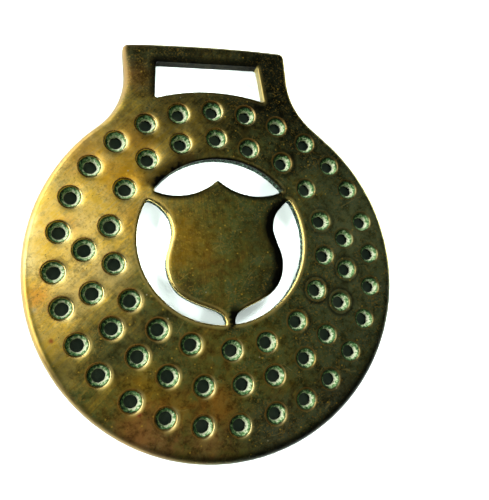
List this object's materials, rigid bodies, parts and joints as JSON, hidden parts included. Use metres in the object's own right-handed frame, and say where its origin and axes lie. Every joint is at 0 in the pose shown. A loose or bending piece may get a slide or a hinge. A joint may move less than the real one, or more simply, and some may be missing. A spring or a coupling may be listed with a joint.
{
  "type": "horse brass",
  "caption": "Flat cast horse brass: a round disc with a slotted strap loop, rings of dished round holes and a plain pierced shield in its middle.",
  "frame": {"origin": "on the flat back, at the middle of the disc, behind the shield", "axes": "+Z out of the face, +Y from the disc's middle towards the strap loop, +X to the right seen from the front; it lies on its back"},
  "size_m": [0.0862, 0.0984, 0.0027],
  "materials": {
    "brass": "worn polish, brown patina on the flats and green verdigris in the holes"
  },
  "bodies": {
    "root": {"horse_brass": "brass"}
  },
  "joints": []
}
